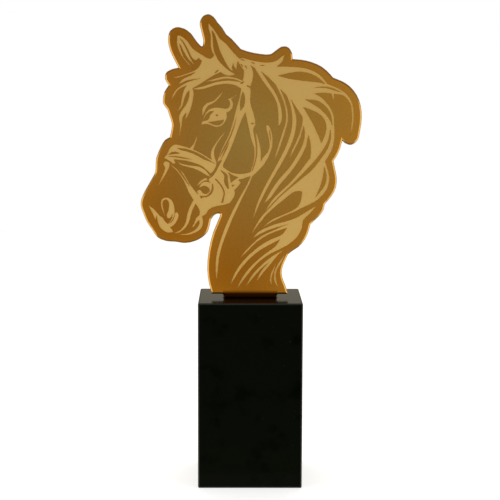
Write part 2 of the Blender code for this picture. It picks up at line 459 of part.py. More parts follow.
def curve_between(before, start, end, after, low=0.0, high=1.0, splits=CURVE_SPLITS):
    """The points after low that keep straight edges within CURVE_TOLERANCE of the curve."""
    first = spline_point(before, start, end, after, low)
    last = spline_point(before, start, end, after, high)
    middle = spline_point(before, start, end, after, (low + high) / 2)
    chord = last - first
    offset = middle - first
    reach = abs(chord.x * offset.y - chord.y * offset.x) / max(chord.length, MERGE_DISTANCE)
    if splits == 0 or reach < CURVE_TOLERANCE:
        return [last]
    half = (low + high) / 2
    return (curve_between(before, start, end, after, low, half, splits - 1)
            + curve_between(before, start, end, after, half, high, splits - 1))


def flow(points):
    """A smooth open curve through the points, without its first point."""
    if len(points) == 2:
        return [points[1]]
    ends = [2 * points[0] - points[1]] + points + [2 * points[-1] - points[-2]]
    found = []
    for index in range(len(points) - 1):
        found += curve_between(*ends[index:index + 4])
    return found


def outline(runs):
    """The closed polygon of a drawn shape, anticlockwise."""
    placed = [[drawn_to_plate(point) for point in run] for run in runs]
    polygon = []
    for index, run in enumerate(placed):
        following = placed[(index + 1) % len(placed)][0]
        polygon += flow(run + [following])
    return anticlockwise(polygon)


def anticlockwise(polygon):
    doubled_area = 0.0
    for index, point in enumerate(polygon):
        previous = polygon[index - 1]
        doubled_area += previous.x * point.y - point.x * previous.y
    return polygon if doubled_area > 0 else polygon[::-1]


def plate_outline():
    """The silhouette, closed below the shoulders by the tab that goes into the plinth."""
    placed = [[drawn_to_plate(point) for point in run] for run in SILHOUETTE]
    polygon = [placed[0][0]]
    for run, following in zip(placed, placed[1:]):
        polygon += flow(run + [following[0]])
    shoulder = PLINTH_HEIGHT + SHOULDER_GAP
    half = TAB_WIDTH / 2
    foot = PLINTH_HEIGHT - TAB_DEPTH
    right_side = []
    for step in range(TAB_FILLET_EDGES + 1):
        turn = math.pi / 2 * step / TAB_FILLET_EDGES
        across = half + TAB_FILLET * (1 - math.sin(turn))
        right_side.append(Vector((across, shoulder - TAB_FILLET * (1 - math.cos(turn)))))
    right_side.append(Vector((half, foot)))
    left_side = [Vector((-point.x, point.y)) for point in reversed(right_side)]
    return anticlockwise(polygon + right_side + left_side)


def material(name, finish):
    colour, roughness, metallic = finish
    made = bpy.data.materials.new(name)
    made.use_nodes = True
    shader = made.node_tree.nodes["Principled BSDF"]
    shader.inputs["Base Color"].default_value = (*colour, 1.0)
    shader.inputs["Roughness"].default_value = roughness
    shader.inputs["Metallic"].default_value = metallic
    return made


def add_object(name, mesh, surface):
    made = bpy.data.objects.new(name, mesh)
    mesh.materials.append(surface)
    bpy.context.scene.collection.objects.link(made)
    return made


def plan_of_plate():
    """Splits the plate's face along the engraving: points, triangles, and which triangles are engraved."""
    polygons = [plate_outline()]
    polygons += [outline(runs) for runs in ENGRAVED]
    polygons += [outline(runs) for runs in KEPT]
    points = []
    faces = []
    for polygon in polygons:
        faces.append(list(range(len(points), len(points) + len(polygon))))
        points += polygon
    inside = 1
    found = delaunay_2d_cdt(points, [], faces, inside, MERGE_DISTANCE)
    points, triangles, sources = found[0], found[2], found[5]
    engraved = []
    for shapes in sources:
        cut = any(1 <= shape <= len(ENGRAVED) for shape in shapes)
        kept = any(shape > len(ENGRAVED) for shape in shapes)
        engraved.append(cut and not kept)
    return points, triangles, engraved


def make_plate():
    """The plate as one solid: the engraved areas of its face lie ENGRAVING_DEPTH deep."""
    points, triangles, engraved = plan_of_plate()
    front = -PLINTH_DEPTH / 2 + PLATE_SETBACK
    levels = {"face": front, "floor": front + ENGRAVING_DEPTH, "back": front + PLATE_THICKNESS}
    shell = bmesh.new()
    corners = {}

    def corner(level, index):
        if (level, index) not in corners:
            place = (points[index].x * MM, levels[level] * MM, points[index].y * MM)
            corners[level, index] = shell.verts.new(place)
        return corners[level, index]

    sides = {}
    for triangle, cut in zip(triangles, engraved):
        level = "floor" if cut else "face"
        shell.faces.new([corner(level, index) for index in triangle])
        for first, second in zip(triangle, triangle[1:] + triangle[:1]):
            sides[first, second] = level
    rim = {}
    for (first, second), level in sides.items():
        across = sides.get((second, first))
        if across is None:
            rim[first] = second
        elif level == "face" and across == "floor":
            shell.faces.new([corner("floor", first), corner("floor", second),
                             corner("face", second), corner("face", first)])
    start = next(iter(rim))
    loop = [start]
    while rim[loop[-1]] != start:
        loop.append(rim[loop[-1]])
    for first, second in zip(loop, loop[1:] + loop[:1]):
        shell.faces.new([corner("back", first), corner("back", second),
                         corner("face", second), corner("face", first)])
    shell.faces.new([corner("back", index) for index in reversed(loop)])
    shell.normal_update()
    bmesh.ops.triangulate(shell, faces=shell.faces[:])
    mesh = bpy.data.meshes.new("horse_plate")
    shell.to_mesh(mesh)
    shell.free()
    return add_object("horse_plate", mesh, material("gold_mirror", GOLD_MIRROR))


def make_plinth():
    """The stone block, its arrises eased, with the slot that takes the plate's tab."""
    shell = bmesh.new()
    bmesh.ops.create_cube(shell, size=1.0)
    size = Vector((PLINTH_WIDTH, PLINTH_DEPTH, PLINTH_HEIGHT)) * MM
    bmesh.ops.scale(shell, vec=size, verts=shell.verts)
    bmesh.ops.translate(shell, vec=(0, 0, PLINTH_HEIGHT * MM / 2), verts=shell.verts)
    bmesh.ops.bevel(shell, geom=shell.edges[:], offset=PLINTH_ARRIS * MM, segments=1, affect="EDGES")
    mesh = bpy.data.meshes.new("plinth")
    shell.to_mesh(mesh)
    shell.free()
    plinth = add_object("plinth", mesh, material("black_stone", BLACK_STONE))

    slot = bmesh.new()
    bmesh.ops.create_cube(slot, size=1.0)
    width = TAB_WIDTH + 2 * SLOT_CLEARANCE
    depth = PLATE_THICKNESS + 2 * SLOT_CLEARANCE
    floor = PLINTH_HEIGHT - TAB_DEPTH - SLOT_CLEARANCE
    height = PLINTH_HEIGHT + SLOT_OVERCUT - floor
    bmesh.ops.scale(slot, vec=(width * MM, depth * MM, height * MM), verts=slot.verts)
    middle = -PLINTH_DEPTH / 2 + PLATE_SETBACK + PLATE_THICKNESS / 2
    bmesh.ops.translate(slot, vec=(0, middle * MM, (floor + height / 2) * MM), verts=slot.verts)
    cutter_mesh = bpy.data.meshes.new("slot_cutter")
    slot.to_mesh(cutter_mesh)
    slot.free()
    cutter = bpy.data.objects.new("slot_cutter", cutter_mesh)
    bpy.context.scene.collection.objects.link(cutter)
    cutter.hide_render = True
    cutter.display_type = "WIRE"
    cut = plinth.modifiers.new("slot", "BOOLEAN")
    cut.operation = "DIFFERENCE"
    cut.solver = "EXACT"
    cut.object = cutter
    return plinth


def main():
    for leftover in list(bpy.data.objects):
        bpy.data.objects.remove(leftover, do_unlink=True)
    make_plinth()
    make_plate()


main()
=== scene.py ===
"""The looks of the horse head trophy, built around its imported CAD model.

Lengths are metres, +Z is up, and the engraved face looks towards -Y.
"""

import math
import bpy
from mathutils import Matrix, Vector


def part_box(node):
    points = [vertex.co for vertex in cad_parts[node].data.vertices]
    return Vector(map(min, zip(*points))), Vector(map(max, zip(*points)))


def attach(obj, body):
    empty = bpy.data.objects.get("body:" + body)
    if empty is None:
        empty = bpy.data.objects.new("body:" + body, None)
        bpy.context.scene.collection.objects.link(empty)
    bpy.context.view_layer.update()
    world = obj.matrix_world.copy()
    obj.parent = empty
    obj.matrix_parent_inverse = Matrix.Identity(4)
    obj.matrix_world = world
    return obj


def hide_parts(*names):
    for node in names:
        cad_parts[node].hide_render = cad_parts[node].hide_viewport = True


bl_info = {
    "name": "Horse head trophy",
    "version": (1, 0, 0),
    "blender": (4, 5, 0),
    "location": "3D View > Sidebar > Trophy",
    "description": "Dresses a flat gold mirror horse head on its black stone plinth",
    "category": "Object",
}

import bmesh
import bpy
from bpy.props import FloatProperty, FloatVectorProperty, PointerProperty
from mathutils import Matrix, Vector
from mathutils.kdtree import KDTree

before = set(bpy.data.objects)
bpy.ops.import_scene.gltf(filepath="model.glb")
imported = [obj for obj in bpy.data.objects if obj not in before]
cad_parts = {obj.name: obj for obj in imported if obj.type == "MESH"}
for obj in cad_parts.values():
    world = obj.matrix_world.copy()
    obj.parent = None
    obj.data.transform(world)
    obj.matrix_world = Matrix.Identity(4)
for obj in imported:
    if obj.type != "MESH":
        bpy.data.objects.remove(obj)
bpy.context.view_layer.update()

BODY = "root"
PLATE_NODE = "horse_plate"
PLINTH_NODE = "plinth"
PLATE_LOW, PLATE_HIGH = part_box(PLATE_NODE)
PLINTH_LOW, PLINTH_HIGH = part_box(PLINTH_NODE)

# Attributes of the plate's mesh: how much light from the cut edge reaches a point, which the
# mirror paints as a glow, and how far a face of the eased rim looks to the left or right, where
# the rim paints a highlight as if it caught the light
RIM_GLOW = "rim_glow"
LOOKS_ASIDE = "looks_aside"
# Share of the way up that a face of the rim loses from the way that it looks aside
UP_LOSS = 0.25
# The rim goes from its dim colour to its bright one, a painted highlight, between these values of
# LOOKS_ASIDE
DIM_ASIDE = 0.4
BRIGHT_ASIDE = 0.95

# Two places nearer than this are the same place
SAME_PLACE = 0.00002
# A face lies flat in the plate when its normal is at least this much fore and aft,
FLAT_ON = 0.999
# it is a wall of the plate when its normal is at most this much fore and aft,
WALL_ON = 0.01
# and it is in the flatter strip of the eased rim when its normal is at least this much forward
RIM_ON = math.cos(math.radians(45))
# Faces that meet at less than this angle are one flat face
FLAT_ANGLE = math.radians(0.05)
# The outline's facets meet at less than this angle, and the strips of its rim at more
SMOOTH_ANGLE = math.radians(20)
# The engraving ends less than this far behind the plate's face
ENGRAVED_TO = 0.0005
# The plate's tab, which goes into the slot, reaches this far to each side
TAB_HALF_WIDTH = 0.013
# and its painted shade fades out between these distances past its sides
TAB_FADE_FROM = 0.0001
TAB_FADE_TO = 0.0005

BLACK = (0.0, 0.0, 0.0)
WHITE = (1.0, 1.0, 1.0)


def colour_setting(name, description, default):
    """A colour that the panel shows, as linear red, green and blue."""
    return FloatVectorProperty(
        name=name, description=description, default=default, subtype="COLOR", min=0, max=1
    )


def length_setting(name, description, default):
    """A length that the panel shows, in metres."""
    return FloatProperty(
        name=name, description=description, default=default, subtype="DISTANCE", precision=5
    )


def share_setting(name, description, default):
    """A share from 0 to 1 that the panel shows."""
    return FloatProperty(
        name=name, description=description, default=default, min=0, max=1, precision=3
    )


def light_setting(name, description, default):
    """The brightness of a softbox, which the panel shows."""
    return FloatProperty(name=name, description=description, default=default, min=0)


# Settings


class PlateSettings(bpy.types.PropertyGroup):
    """Sizes and colours of the engraved plate."""

    rim_width: length_setting("Rim width", "Width of the eased rim round the face", 0.0008)
    mesh_step: length_setting("Mesh step", "Spacing of the mesh that carries the glow", 0.003)
    # The mirror's middle, outer and pale golds are a painted reflection: paler in the middle and
    # towards the sides, deeper further out
    middle_height: length_setting("Middle", "Height of the paler middle of the mirror", 0.168)
    middle_reach: length_setting("Reach", "How far the paler middle of the mirror goes", 0.065)
    mirror_middle: colour_setting("Mirror, middle", "Gold in the middle", (0.585, 0.36, 0.086))
    mirror_outer: colour_setting("Mirror, outer", "Deeper gold further out", (0.555, 0.165, 0.001))
    mirror_pale: colour_setting("Mirror, pale", "Pale gold towards the sides", (1.0, 0.553, 0.086))
    pale_middle: share_setting("Pale, middle", "Share of pale gold in the middle", 0.2)
    pale_right: share_setting("Pale, right", "How much that share grows to the right", 0.2)
    pale_sides: share_setting("Pale, sides", "How much it grows towards both sides", 0.18)
    # Painted glow: the mirror is warmer near its cut edge, for the light that comes in through it
    mirror_rim_glow: colour_setting("Mirror, rim", "Warmer gold along the rim", (1.0, 0.37, 0.02))
    rim_reach: length_setting("Rim glow", "How far the cut edge's light warms the mirror", 0.005)
    rim_share: share_setting("Glow", "Share of warmer gold at the rim itself", 0.5)
    dust: share_setting("Dust", "How much the mirror's fine dust darkens it", 0.3)
    dust_free: share_setting("Dust-free", "How much of that the mirror is spared", 0.1)
    # Painted shade: the mirror goes darker towards the ears
    dim_share: share_setting("Dim", "How much the mirror dims towards the ears", 0.16)
    dim_from: length_setting("Dim from", "Height where the mirror starts to dim", 0.19)
    dim_to: length_setting("Dim to", "Height where the mirror is dimmest", 0.225)
    # Painted shade: the tab goes brown and then black above its slot
    tab_shade_colour: colour_setting("Tab", "Dark brown of the tab above its slot", (0.13, 0.032, 0.0))
    tab_top: length_setting("Tab, top", "Height where the tab starts to darken", 0.0943)
    tab_brown: length_setting("Tab, brown", "Height where the tab is dark brown", 0.0922)
    tab_dark: length_setting("Tab, dark", "Height where the tab starts to go black", 0.0914)
    tab_foot: length_setting("Tab, foot", "Height where the tab is black", 0.09)
    frost: colour_setting("Frost", "Pale matt gold of the engraving", (0.89, 0.558, 0.142))
    frost_grain: share_setting("Frost grain", "How much fine grain varies the frost", 0.6)
    frost_cloud: share_setting("Frost clouds", "How much soft clouds vary the frost", 0.4)
    # Painted light: the frost is paler towards its foot
    frost_foot_light: share_setting("Frost, lower", "How much paler it is at its foot", 0.4)
    # Painted highlight: the rim is brighter where it looks left or right, dimmer where it looks up
    # or down
    rim_aside_highlight: colour_setting("Rim, sides", "Rim that looks left or right", (0.55, 0.29, 0.065))
    rim_level: colour_setting("Rim, level", "Rim that looks up or down", (0.47, 0.18, 0.025))
    cut_edge: colour_setting("Cut edge", "Deep amber of the cut edge", (0.25, 0.14, 0.04))
    lacquer: colour_setting("Back", "Satin lacquer on the back", (0.16, 0.1, 0.045))


class PlinthSettings(bpy.types.PropertyGroup):
    """Sizes and colours of the stone plinth."""

    arris: length_setting("Arris", "Width of the eased arrises", 0.0007)
    slot_play: length_setting("Play", "Room between the tab and its slot on each side", 0.0003)
    stone: colour_setting("Stone", "Nearly black ground of the stone", (0.0032, 0.004, 0.0018))
    stone_deep: colour_setting("Clouds", "Deeper clouds in the stone", (0.0009, 0.0016, 0.0))
    # Painted highlight: the arrises are greyer than the stone
    arris_highlight_grey: colour_setting("Arrises", "Ground arrises, greyer", (0.024, 0.0255, 0.022))
    speck: colour_setting("Specks", "Small pale grains in the stone", (0.05, 0.05, 0.045))


class StageSettings(bpy.types.PropertyGroup):
    """Floor and studio light."""

    floor_side: length_setting("Floor", "Side of the square floor", 1.2)
    floor_front: length_setting("Floor's front", "Where the floor ends in front", -0.05)
    floor_colour: colour_setting("Floor colour", "Plain pale floor", (0.9, 0.9, 0.9))
    backdrop: colour_setting("Backdrop", "White that the camera sees behind", WHITE)
    room_front: colour_setting("Room, front", "Grey before the trophy", (0.42, 0.42, 0.42))
    room_behind: colour_setting("Room, behind", "Grey behind the trophy", (0.59, 0.54, 0.42))
    side_light: light_setting("Side light", "Brightness of the two side softboxes", 1.4)
    front_light: light_setting("Front light", "Brightness of the two front softboxes", 1.3)
    high_light: light_setting("High light", "Brightness of the high softbox behind", 1.3)


# Shader nodes


class Number:
    """A number that changes over the surface; sums written with it add Math nodes."""

    def __init__(self, recipe, socket):
        self.recipe = recipe
        self.socket = socket

    def maths(self, operation, *values):
        """A Math node on these values."""
        return self.recipe.node(
            "ShaderNodeMath", {"operation": operation}, dict(enumerate(values))
        )

    def __add__(self, other):
        return self.maths("ADD", self, other)

    def __radd__(self, other):
        return self.maths("ADD", other, self)

    def __sub__(self, other):
        return self.maths("SUBTRACT", self, other)

    def __rsub__(self, other):
        return self.maths("SUBTRACT", other, self)

    def __mul__(self, other):
        return self.maths("MULTIPLY", self, other)

    def __rmul__(self, other):
        return self.maths("MULTIPLY", other, self)

    def __truediv__(self, other):
        return self.maths("DIVIDE", self, other)

    def __pow__(self, other):
        return self.maths("POWER", self, other)

    def between(self, start, stop):
        """A smooth step from 0 at start to 1 at stop."""
        return self.recipe.node(
            "ShaderNodeMapRange",
            {"interpolation_type": "SMOOTHSTEP"},
            {"Value": self, "From Min": start, "From Max": stop},
        )


class Recipe:
    """Adds the nodes of one material or world."""

    def __init__(self, tree):
        self.tree = tree
        tree.nodes.clear()

    def node(self, kind, settings, inputs, output=0):
        """Adds a node with its settings and sockets, and returns one of its outputs."""
        made = self.tree.nodes.new(kind)
        for name, value in settings.items():
            setattr(made, name, value)
        for name, value in inputs.items():
            if isinstance(value, Number):
                self.tree.links.new(value.socket, made.inputs[name])
            else:
                made.inputs[name].default_value = value
        return Number(self, made.outputs[output]) if made.outputs else None

    def place(self):
        """The point on the object, in metres."""
        return self.node("ShaderNodeTexCoord", {}, {}, "Object")

    def attribute(self, name):
        """A number that the mesh stores for each point or face."""
        return self.node("ShaderNodeAttribute", {"attribute_name": name}, {}, "Fac")

    def along(self, place, axis):
        """One coordinate of a point."""
        return self.node("ShaderNodeSeparateXYZ", {}, {0: place}, axis)

    def noise(self, place, wave, detail=2.0, roughness=0.5):
        """Soft noise from 0 to 1 whose blots are about one wave across."""
        return self.node(
            "ShaderNodeTexNoise",
            {},
            {"Vector": place, "Scale": 1 / wave, "Detail": detail, "Roughness": roughness},
        )

    def mix(self, share, first, second):
        """The colour between two others."""
        return self.node(
            "ShaderNodeMix",
            {"data_type": "RGBA"},
            {0: share, 6: self.opaque(first), 7: self.opaque(second)},
            2,
        )

    def opaque(self, colour):
        """A colour with its alpha, or the socket that gives one."""
        return colour if isinstance(colour, Number) else (*colour, 1.0)

    def bump(self, height, distance, strength=1.0):
        """A normal that follows small heights."""
        return self.node(
            "ShaderNodeBump", {}, {"Height": height, "Distance": distance, "Strength": strength}
        )

    def surface(self, **inputs):
        """The Principled shader and the material's output."""
        named = {name.replace("_", " "): value for name, value in inputs.items()}
        named["Base Color"] = self.opaque(named["Base Color"])
        shader = self.node("ShaderNodeBsdfPrincipled", {}, named)
        self.node("ShaderNodeOutputMaterial", {}, {"Surface": shader})


def new_recipe(name):
    """An empty material, and the recipe that fills it."""
    material = bpy.data.materials.new(name)
    material.use_nodes = True
    return material, Recipe(material.node_tree)


def dimmed(colour, share):
    """A colour at a share of its brightness."""
    return tuple(share * part for part in colour)


def gold_mirror(settings):
    """Gold mirror behind clear acrylic, with a painted reflection that is paler in its middle and
    a painted glow that is warmer along its rim.
    """
    material, recipe = new_recipe("gold_mirror")
    place = recipe.place()
    # Painted reflection: paler in the middle and towards the sides, deeper further out
    across = recipe.along(place, "X")
    up = recipe.along(place, "Z") - settings.middle_height
    distance = (across * across + up * up) ** 0.5
    outward = distance / settings.middle_reach
    colour = recipe.mix(outward, settings.mirror_middle, settings.mirror_outer)
    sideways = across / PLATE_HIGH.x
    pale = settings.pale_middle + settings.pale_right * sideways
    pale = pale + settings.pale_sides * (sideways * sideways)
    colour = recipe.mix(pale, colour, settings.mirror_pale)
    # Painted glow: warmer gold near the cut edge
    glow = recipe.attribute(RIM_GLOW)
    colour = recipe.mix(settings.rim_share * glow, colour, settings.mirror_rim_glow)
    dust = recipe.noise(place, wave=0.0011, detail=3.0, roughness=0.7)
    # Painted shade: darker towards the ears; the dust is the mirror's own
    painted_dimming = recipe.along(place, "Z").between(settings.dim_from, settings.dim_to)
    dust_and_painted_shade = settings.dust * dust - settings.dust_free + settings.dim_share * painted_dimming
    colour = recipe.mix(dust_and_painted_shade, colour, BLACK)
    smudges = recipe.noise(place, wave=0.018, detail=4.0)
    ripple = recipe.noise(place, wave=0.03, detail=1.0)
    recipe.surface(
        Base_Color=tab_painted_shade(recipe, colour, settings),
        Metallic=1.0,
        Roughness=0.07 + 0.05 * smudges,
        Normal=recipe.bump(ripple, distance=0.00002),
    )
    return material


def tab_painted_shade(recipe, colour, settings):
    """A colour of the face with painted shade, which goes brown and then black down the tab, above
    its slot.
    """
    place = recipe.place()
    up = recipe.along(place, "Z")
    across = recipe.along(place, "X")
    fade_from = TAB_HALF_WIDTH + TAB_FADE_FROM
    fade_to = TAB_HALF_WIDTH + TAB_FADE_TO
    on_tab = across.between(-fade_to, -fade_from) * (1 - across.between(fade_from, fade_to))
    # Painted shade: brown, then black, down the tab
    brown = on_tab * (1 - up.between(settings.tab_brown, settings.tab_top))
    black = on_tab * (1 - up.between(settings.tab_foot, settings.tab_dark))
    colour = recipe.mix(brown, colour, settings.tab_shade_colour)
    return recipe.mix(black, colour, BLACK)


def engraved_frost(settings):
    """Laser-frosted areas: an even grain in soft clouds, and painted light that makes them a
    little paler lower down.
    """
    material, recipe = new_recipe("engraved_frost")
    place = recipe.place()
    grain = recipe.noise(place, wave=0.0009, detail=3.0, roughness=0.7)
    cloud = recipe.noise(place, wave=0.02)
    upward = recipe.along(place, "Z").between(PLINTH_HIGH.z, PLATE_HIGH.z)
    paler = settings.frost_grain * grain + settings.frost_cloud * cloud
    # Painted light: paler towards the foot
    paler = paler + settings.frost_foot_light * (0.5 - upward)
    recipe.surface(
        Base_Color=recipe.mix(paler, dimmed(settings.frost, 0.78), settings.frost),
        Metallic=0.25,
        Roughness=0.62,
        Normal=recipe.bump(grain, distance=0.00003, strength=0.5),
    )
    return material


def eased_rim(settings):
    """The eased rim of the face, with a painted highlight where it looks to the left or right."""
    material, recipe = new_recipe("eased_rim")
    # Painted highlight: brighter where the rim looks left or right
    aside = recipe.attribute(LOOKS_ASIDE).between(DIM_ASIDE, BRIGHT_ASIDE)
    colour = recipe.mix(aside, settings.rim_level, settings.rim_aside_highlight)
    colour = tab_painted_shade(recipe, colour, settings)
    recipe.surface(Base_Color=colour, Metallic=1.0, Roughness=0.2)
    return material


def polished_cut(settings):
    """The cut edge of the sheet: deep polished amber."""
    material, recipe = new_recipe("polished_cut")
    streaks = recipe.noise(recipe.place(), wave=0.002)
    recipe.surface(
        Base_Color=recipe.mix(streaks, dimmed(settings.cut_edge, 0.7), settings.cut_edge),
        Roughness=0.15 + 0.1 * streaks,
        Specular_IOR_Level=0.3,
    )
    return material


def back_lacquer(settings):
    """Satin lacquer that guards the mirror from behind."""
    material, recipe = new_recipe("back_lacquer")
    speckle = recipe.noise(recipe.place(), wave=0.0006, detail=3.0, roughness=0.7)
    recipe.surface(
        Base_Color=recipe.mix(speckle, dimmed(settings.lacquer, 0.8), settings.lacquer),
        Metallic=0.4,
        Roughness=0.42 + 0.1 * speckle,
        Normal=recipe.bump(speckle, distance=0.00002, strength=0.4),
    )
    return material


def black_stone(settings):
    """Polished black stone with deeper clouds and a few small pale grains."""
    material, recipe = new_recipe("black_stone")
    place = recipe.place()
    clouds = recipe.noise(place, wave=0.011, detail=3.0)
    colour = recipe.mix(clouds.between(0.5, 0.75), settings.stone, settings.stone_deep)
    grains = recipe.noise(place, wave=0.0011, roughness=0.6).between(0.74, 0.79)
    patches = recipe.noise(place, wave=0.009).between(0.5, 0.66)
    colour = recipe.mix(grains * patches, colour, settings.speck)
    recipe.surface(Base_Color=colour, Roughness=0.1 + 0.05 * clouds, Specular_IOR_Level=0.02)
    return material


def ground_arris_highlight(settings):
    """The plinth's arrises, ground and not polished, and greyer for a painted highlight along the
    edges.
    """
    material, recipe = new_recipe("ground_arris_highlight")
    grain = recipe.noise(recipe.place(), wave=0.0009)
    colour = recipe.mix(grain, dimmed(settings.arris_highlight_grey, 0.6), settings.arris_highlight_grey)
    recipe.surface(Base_Color=colour, Roughness=0.5, Specular_IOR_Level=0.2)
    return material


# Modelling


def deselect_all():
    """Leaves nothing selected, in object mode."""
    for other in bpy.context.selected_objects:
        other.select_set(False)


def pick(piece):
    """Makes a piece the only selected and the active one."""
    deselect_all()
    piece.select_set(True)
    bpy.context.view_layer.objects.active = piece


def copy_of_node(node, name):
    """A copy of a CAD node's mesh as a new piece, its flat faces whole again."""
    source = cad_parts[node]
    piece = bpy.data.objects.new(name, source.data.copy())
    bpy.context.scene.collection.objects.link(piece)
    piece.data.materials.clear()
    pick(piece)
    bpy.ops.mesh.customdata_custom_splitnormals_clear()
    bpy.ops.object.mode_set(mode="EDIT")
    bpy.ops.mesh.select_all(action="SELECT")
    bpy.ops.mesh.remove_doubles(threshold=SAME_PLACE / 4)
    bpy.ops.mesh.dissolve_limited(angle_limit=FLAT_ANGLE)
    bpy.ops.object.mode_set(mode="OBJECT")
    return piece


def on_level(points, level):
    """True if all these points lie at one depth of the plate."""
    return all(abs(point.co.y - level) < SAME_PLACE for point in points)


def is_wall(face):
    """True for a face that stands square to the plate."""
    return abs(face.normal.y) < WALL_ON


def is_outer_wall(face):
    """True for a wall of the plate's outline, or a piece of it, which lies past the engraving."""
    return is_wall(face) and any(point.co.y > PLATE_LOW.y + ENGRAVED_TO for point in face.verts)


def select_face_rim(mesh):
    """In edit mode: selects the arris between the plate's face and its cut edge."""
    shell = bmesh.from_edit_mesh(mesh)
    for edge in shell.edges:
        on_face = on_level(edge.verts, PLATE_LOW.y)
        edge.select_set(on_face and any(is_outer_wall(face) for face in edge.link_faces))
    shell.select_flush_mode()
    bmesh.update_edit_mesh(mesh)


def ease_face_rim(piece, width):
    """Bevels the outer arris of the plate's face, and none of the engraving's."""
    pick(piece)
    bpy.ops.object.mode_set(mode="EDIT")
    bpy.ops.mesh.select_mode(type="EDGE")
    bpy.ops.mesh.select_all(action="DESELECT")
    select_face_rim(piece.data)
    bpy.ops.mesh.bevel(
        offset=width, segments=2, affect="EDGES", clamp_overlap=False, loop_slide=False
    )
    bpy.ops.object.mode_set(mode="OBJECT")


def cut_into_squares(piece, low, high, step):
    """Cuts the piece along level and upright planes, so that its flat faces carry an attribute."""
    pick(piece)
    bpy.ops.object.mode_set(mode="EDIT")
    bpy.ops.mesh.select_all(action="SELECT")
    bpy.ops.mesh.quads_convert_to_tris()
    for axis in ("X", "Z"):
        start = getattr(low, axis.lower())
        count = math.ceil((getattr(high, axis.lower()) - start) / step)
        normal = Vector((axis == "X", 0, axis == "Z"))
        for index in range(1, count):
            bpy.ops.mesh.select_all(action="SELECT")
            bpy.ops.mesh.bisect(plane_co=normal * (start + index * step), plane_no=normal)
    bpy.ops.object.mode_set(mode="OBJECT")


def rim_tree(shell):
    """A search tree of the points on the plate's outline, all brought to one level."""
    rim = {point for face in shell.faces if is_outer_wall(face) for point in face.verts}
    tree = KDTree(len(rim))
    for index, point in enumerate(rim):
        tree.insert((point.co.x, 0, point.co.z), index)
    tree.balance()
    return tree


def part_of_plate(face):
    """Which part of the plate a face belongs to, by its place and normal."""
    if is_outer_wall(face):
        return "edge"
    if is_wall(face):
        return "frost"
    if face.normal.y > FLAT_ON:
        return "back"
    if face.normal.y < -FLAT_ON:
        return "mirror" if on_level(face.verts, PLATE_LOW.y) else "frost"
    return "rim" if face.normal.y < -RIM_ON else "edge"


def dress_plate(piece, materials, reach):
    """Gives the plate's faces their materials, and its points the light that reaches them."""
    names = list(materials)
    for name in names:
        piece.data.materials.append(materials[name])
    shell = bmesh.new()
    shell.from_mesh(piece.data)
    shell.normal_update()
    glow = shell.verts.layers.float.new(RIM_GLOW)
    aside = shell.faces.layers.float.new(LOOKS_ASIDE)
    tree = rim_tree(shell)
    for point in shell.verts:
        distance = tree.find((point.co.x, 0, point.co.z))[2]
        point[glow] = math.exp(-distance / reach)
    for face in shell.faces:
        face.material_index = names.index(part_of_plate(face))
        way = face.normal.xz.normalized()
        face[aside] = abs(way.x) - UP_LOSS * way.y
    shell.to_mesh(piece.data)
    shell.free()


def stone_block(arris):
    """A block that fills the plinth's box, with rounded arrises."""
    deselect_all()
    bpy.ops.mesh.primitive_cube_add(size=1, location=(PLINTH_LOW + PLINTH_HIGH) / 2)
    block = bpy.context.active_object
    block.name = "stone_plinth"
    block.scale = PLINTH_HIGH - PLINTH_LOW
    bpy.ops.object.transform_apply(location=True, rotation=False, scale=True)
    bpy.ops.object.mode_set(mode="EDIT")
    bpy.ops.mesh.select_all(action="SELECT")
    bpy.ops.mesh.bevel(offset=arris, segments=4, affect="EDGES")
    bpy.ops.object.mode_set(mode="OBJECT")
    return block


def select_top(mesh, low=None, high=None):
    """In edit mode: selects the faces of the plinth's top, all or those inside a box."""
    shell = bmesh.from_edit_mesh(mesh)
    for face in shell.faces:
        middle = face.calc_center_median()
        chosen = face.normal.z > FLAT_ON and middle.z > PLINTH_HIGH.z - SAME_PLACE
        if chosen and low is not None:
            chosen = low.x < middle.x < high.x and low.y < middle.y < high.y
        face.select_set(chosen)
    bmesh.update_edit_mesh(mesh)


def sink_slot(block, low, high):
    """Cuts the slot for the tab: its outline in the top, then the face inside sunk down."""
    pick(block)
    bpy.ops.object.mode_set(mode="EDIT")
    bpy.ops.mesh.select_mode(type="FACE")
    for corner in (low, high):
        for normal in (Vector((1, 0, 0)), Vector((0, 1, 0))):
            select_top(block.data)
            bpy.ops.mesh.bisect(plane_co=corner, plane_no=normal)
    select_top(block.data, low, high)
    sunk = (0, 0, low.z - PLINTH_HIGH.z)
    bpy.ops.mesh.extrude_region_move(TRANSFORM_OT_translate={"value": sunk})
    bpy.ops.object.mode_set(mode="OBJECT")


def dress_block(block, polished, ground):
    """Gives the block's flat faces the polished stone, and its arrises the ground one with its
    painted highlight.
    """
    block.data.materials.append(polished)
    block.data.materials.append(ground)
    for face in block.data.polygons:
        face.material_index = 0 if max(abs(part) for part in face.normal) > FLAT_ON else 1


class TROPHY_OT_plate(bpy.types.Operator):
    """Build the engraved gold mirror plate"""

    bl_idname = "trophy.plate"
    bl_label = "Horse plate"

    def execute(self, context):
        settings = context.scene.trophy_plate
        piece = copy_of_node(PLATE_NODE, "engraved_horse_plate")
        ease_face_rim(piece, settings.rim_width)
        cut_into_squares(piece, PLATE_LOW, PLATE_HIGH, settings.mesh_step)
        materials = {
            "mirror": gold_mirror(settings),
            "frost": engraved_frost(settings),
            "rim": eased_rim(settings),
            "edge": polished_cut(settings),
            "back": back_lacquer(settings),
        }
        dress_plate(piece, materials, settings.rim_reach)
        pick(piece)
        bpy.ops.object.shade_smooth_by_angle(angle=SMOOTH_ANGLE)
        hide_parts(PLATE_NODE)
        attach(piece, BODY)
        return {"FINISHED"}


